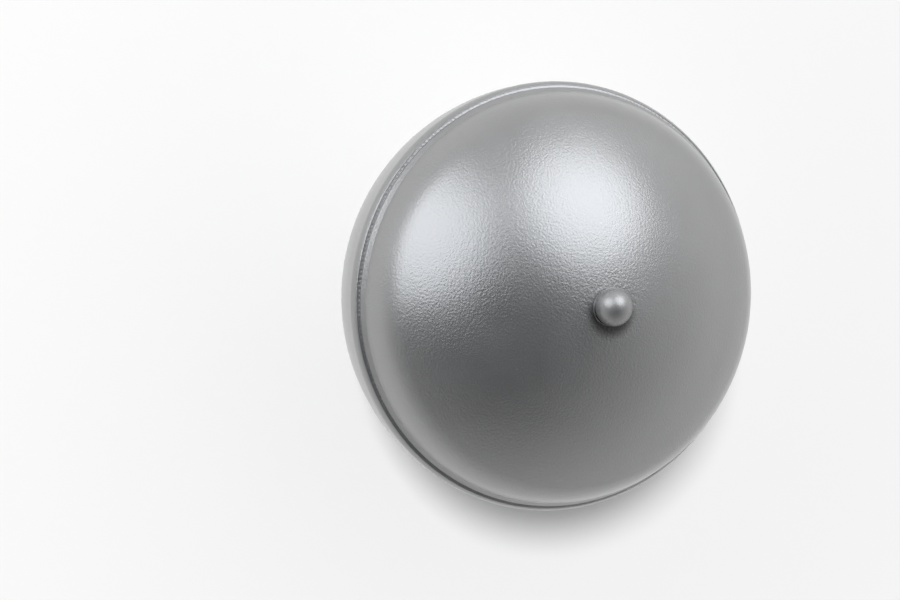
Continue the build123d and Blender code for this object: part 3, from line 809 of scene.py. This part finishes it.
def makeDiaphragm():
    cup = {
        "outer": 52.7, "inner": 50.5, "clamp": 72.55, "ledge": 67.95, "beadOuter": 54.5, "beadEdge": 0.6,
        "button": 22.78, "floor": 24.98, "boss": 27.98, "bossRadius": 18.0, "bossSlope": 2.5,
        "hole": 3.1, "pocket": 14.1, "pocketTop": 25.88, "soft": 1.0, "rollOut": 47.0, "rollIn": 30.0,
        "turns": 240,
    }
    centre = (0.0, ball["bowlCentre"])
    ledgeAngle = 90 + degrees(asin((ball["bowlCentre"] - cup["ledge"]) / cup["outer"]))
    outerFloor = degrees(acos((cup["button"] - ball["bowlCentre"]) / cup["outer"]))
    innerFloor = degrees(acos((cup["floor"] - ball["bowlCentre"]) / cup["inner"]))
    slopeTop = (cup["bossRadius"] - cup["bossSlope"], cup["boss"])
    slopeFoot = (cup["bossRadius"], cup["floor"])
    innerStart = polar(centre, cup["inner"], innerFloor)
    outline = [(cup["hole"], cup["boss"])] + split((cup["hole"], cup["boss"]), slopeTop, 4)
    outline += softCorner((0, cup["boss"]), slopeTop, slopeFoot, cup["soft"])
    outline += softCorner(slopeTop, slopeFoot, innerStart, cup["soft"])
    outline += arcLine(centre, cup["inner"], innerFloor, 90, 70)
    outline += [(cup["inner"], cup["clamp"])]
    beadTop, beadFoot = (cup["beadOuter"], cup["clamp"]), (cup["beadOuter"], cup["ledge"])
    beadSide = (cup["beadOuter"], 70)
    outline += softCorner((50, cup["clamp"]), beadTop, beadSide, cup["beadEdge"])
    outline += softCorner(beadSide, beadFoot, (50, cup["ledge"]), cup["beadEdge"])
    outline += arcLine(centre, cup["outer"], ledgeAngle, outerFloor, 70)
    outline += [(cup["pocket"], cup["button"]), (cup["pocket"], cup["pocketTop"])]
    outline += [(cup["hole"], cup["pocketTop"])]
    piece = lathe("diaphragmCup", outline, cup["turns"])
    piece.data.materials.append(cupRubber)
    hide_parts("diaphragm")
    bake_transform(piece, "ball", "diaphragm_centre", start=(0, 0, 0.058), end=(0, 0, 0.028))
    share = piece.data.attributes["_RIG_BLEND"]
    for vert in piece.data.vertices:                  # the rubber rolls up inside itself
        out = sqrt(vert.co.x**2 + vert.co.y**2) / mm
        t = min(1.0, max(0.0, (cup["rollOut"] - out) / (cup["rollOut"] - cup["rollIn"])))
        share.data[vert.index].value = t * t * (3 - 2 * t)


makeDiaphragm()
print("diaphragm made")


# CAD pieces that keep their shape and take a finish
finishOf = {
    "clamp_ring": (steelFinish, "bare_steel"),
    "diaphragm_button": (buttonFinish, "button_metal"),
    "damper_gasket": (copperFinish, "copper"),
    "damper_body": (hardFinish, "hardened_steel"),
    "damper_pin": (hardFinish, "hardened_steel"),
    "damper_nut": (steelFinish, "bare_steel"),
    "damper_lock_ring": (steelFinish, "bare_steel"),
    "upper_stop_washer": (hardFinish, "hardened_steel"),
    "lower_stop_washer": (hardFinish, "hardened_steel"),
    "upper_leaf_1": (springFinish, "spring_steel"),
    "upper_leaf_2": (springFinish, "spring_steel"),
    "upper_leaf_3": (springFinish, "spring_steel"),
    "lower_leaf_1": (springFinish, "spring_steel"),
    "lower_leaf_2": (springFinish, "spring_steel"),
    "lower_leaf_3": (springFinish, "spring_steel"),
}
for name, (material, slot) in finishOf.items():
    node = nodes[name]
    node.data.materials.clear()
    node.data.materials.append(material)
print("valve finished")


# Camera, at the photograph's viewing angle
view = {
    "place": (0.0, -0.142393, 0.403155),
    "right": (-0.18443, 0.93168, 0.31298),
    "ahead": (0.01654, 0.32134, -0.94682),
    "focalPixels": 1325.5,
    "widthPixels": 900,
}


def makeCamera():
    lens = bpy.data.cameras.new("camera")
    lens.sensor_width = 36.0
    lens.lens = view["focalPixels"] * lens.sensor_width / view["widthPixels"]
    lens.clip_start, lens.clip_end = 0.01, 50.0
    camera = bpy.data.objects.new("camera", lens)
    scene.collection.objects.link(camera)
    ahead = Vector(view["ahead"]).normalized()
    right = Vector(view["right"])
    right = (right - ahead * right.dot(ahead)).normalized()
    up = right.cross(ahead)
    camera.matrix_world = Matrix((
        (right.x, up.x, -ahead.x, view["place"][0]),
        (right.y, up.y, -ahead.y, view["place"][1]),
        (right.z, up.z, -ahead.z, view["place"][2]),
        (0, 0, 0, 1),
    ))
    scene.camera = camera


coolWhite = (0.917, 0.95, 1.0)
lamps = {
    "left": {
        "toward": (-0.257, -0.805, 0.535), "distance": 1.2, "size": 1.18, "power": 8.75, "colour": coolWhite,
    },
    "right": {
        "toward": (-0.62, 0.163, 0.767), "distance": 1.2, "size": 1.11, "power": 9.2, "colour": coolWhite,
    },
    "floor": {
        "toward": (-0.226, -0.428, 0.876), "distance": 2.6, "size": 0.5, "power": 59.0, "colour": (1, 1, 1),
    },
}


def makeLamps():
    middle = Vector((0, 0, 0.09))         # the lamps point at the dome
    for name, lamp in lamps.items():
        light = bpy.data.lights.new(name + "Softbox", "AREA")
        light.shape = "DISK"
        light.size = lamp["size"]
        light.energy = lamp["power"]
        light.color = lamp["colour"]
        softbox = bpy.data.objects.new(name + "Softbox", light)
        scene.collection.objects.link(softbox)
        way = Vector(lamp["toward"]).normalized()
        softbox.location = middle + way * lamp["distance"]
        softbox.rotation_mode = "QUATERNION"
        softbox.rotation_quaternion = (-way).to_track_quat("-Z", "Y")
        lit = bpy.data.collections.new(name + "Lit")
        lit.objects.link(bpy.data.objects["floor"])
        softbox.light_linking.receiver_collection = lit
        if name != "floor":                           # the floor has a lamp of its own, for one soft shadow
            lit.collection_objects[0].light_linking.link_state = "EXCLUDE"


studio = {
    "darkWay": (0.327, -0.251, 0.911),   # the unlit side of the room
    "strength": 1.6,
    "levels": [(0.0, 0.96), (0.6, 0.458), (0.83, 0.252), (0.955, 0.032)],
    "white": (0.98, 0.98, 0.98, 1),
    "floorReach": 3.0,
    "floorColour": 0.85,
    "floorShadow": 0.95,
    "fadeFrom": 0.08,                    # from here the floor fades to white for the camera alone
    "fadeTo": 0.4,
}


def makeWorld():
    world = bpy.data.worlds.new("studio")
    scene.world = world
    world.use_nodes = True
    tree = world.node_tree
    tree.nodes.clear()
    out = addNode(tree, "ShaderNodeOutputWorld", 900, 0)
    where = addNode(tree, "ShaderNodeTexCoord", -900, 0).outputs["Generated"]
    facing = addNode(tree, "ShaderNodeVectorMath", -700, 0, operation="DOT_PRODUCT")
    tree.links.new(where, facing.inputs[0])
    facing.inputs[1].default_value = Vector(studio["darkWay"]).normalized()
    ramp = addNode(tree, "ShaderNodeValToRGB", -300, 0)
    ramp.color_ramp.interpolation = "LINEAR"
    share = rangeOf(tree, facing.outputs["Value"], -1.0, 1.0, 0.0, 1.0, -500, 0)
    tree.links.new(share, ramp.inputs[0])
    ramp.color_ramp.elements.new(0.5)
    ramp.color_ramp.elements.new(0.72)
    for element, (place, level) in zip(ramp.color_ramp.elements, studio["levels"]):
        element.position = place
        element.color = (level, level, level, 1)
    room = addNode(tree, "ShaderNodeBackground", 200, -100)
    tree.links.new(ramp.outputs["Color"], room.inputs["Color"])
    room.inputs["Strength"].default_value = studio["strength"]
    white = addNode(tree, "ShaderNodeBackground", 200, 100)
    white.inputs["Color"].default_value = studio["white"]
    path = addNode(tree, "ShaderNodeLightPath", 200, 400)
    mix = addNode(tree, "ShaderNodeMixShader", 600, 0)
    tree.links.new(path.outputs["Is Camera Ray"], mix.inputs[0])
    tree.links.new(room.outputs[0], mix.inputs[1])
    tree.links.new(white.outputs[0], mix.inputs[2])
    tree.links.new(mix.outputs[0], out.inputs["Surface"])


def makeFloor():
    mesh = bpy.data.meshes.new("floor")
    reach = studio["floorReach"]
    corners = [(-reach, -reach, 0), (reach, -reach, 0), (reach, reach, 0), (-reach, reach, 0)]
    mesh.from_pydata(corners, [], [(0, 1, 2, 3)])
    floor = bpy.data.objects.new("floor", mesh)
    scene.collection.objects.link(floor)
    floor.visible_shadow = False          # lamps below the floor's level still reach the underside
    material = bpy.data.materials.new("paleFloor")
    material.use_nodes = True
    tree = material.node_tree
    tree.nodes.clear()
    out = addNode(tree, "ShaderNodeOutputMaterial", 900, 0)
    matt = addNode(tree, "ShaderNodeBsdfDiffuse", -200, 100)
    matt.inputs["Color"].default_value = (studio["floorColour"],) * 3 + (1,)
    glow = addNode(tree, "ShaderNodeEmission", -200, -50)
    glow.inputs["Color"].default_value = studio["white"]
    blend = addNode(tree, "ShaderNodeMixShader", 100, 50)
    tree.links.new(matt.outputs[0], blend.inputs[1])
    tree.links.new(glow.outputs[0], blend.inputs[2])
    path = addNode(tree, "ShaderNodeLightPath", -700, 500)
    away = addNode(tree, "ShaderNodeVectorMath", -900, 200, operation="LENGTH")
    tree.links.new(addNode(tree, "ShaderNodeTexCoord", -1100, 200).outputs["Object"], away.inputs[0])
    near, far = studio["fadeFrom"], studio["fadeTo"]
    fade = rangeOf(tree, away.outputs["Value"], near, far, 0.0, 1.0, -700, 200, smooth=True)
    fade = mathOf(tree, "MULTIPLY", fade, path.outputs["Is Camera Ray"], -450, 250)
    fade = mathOf(tree, "MAXIMUM", fade, 1 - studio["floorShadow"], -200, 250)
    tree.links.new(fade, blend.inputs[0])
    seen = mathOf(tree, "MAXIMUM", path.outputs["Is Camera Ray"], path.outputs["Is Glossy Ray"], 100, 400)
    seen = mathOf(tree, "MAXIMUM", seen, path.outputs["Is Transmission Ray"], 300, 400)
    pick = addNode(tree, "ShaderNodeMixShader", 400, 50)
    tree.links.new(seen, pick.inputs[0])
    tree.links.new(matt.outputs[0], pick.inputs[1])
    tree.links.new(blend.outputs[0], pick.inputs[2])
    clear = addNode(tree, "ShaderNodeBsdfTransparent", 400, -150)
    under = addNode(tree, "ShaderNodeNewGeometry", 400, 350)
    side = addNode(tree, "ShaderNodeMixShader", 650, 0)
    tree.links.new(under.outputs["Backfacing"], side.inputs[0])
    tree.links.new(pick.outputs[0], side.inputs[1])
    tree.links.new(clear.outputs[0], side.inputs[2])
    tree.links.new(side.outputs[0], out.inputs["Surface"])
    mesh.materials.append(material)


makeCamera()
makeFloor()
makeLamps()
makeWorld()
scene.view_settings.view_transform = "Standard"
print("studio set")
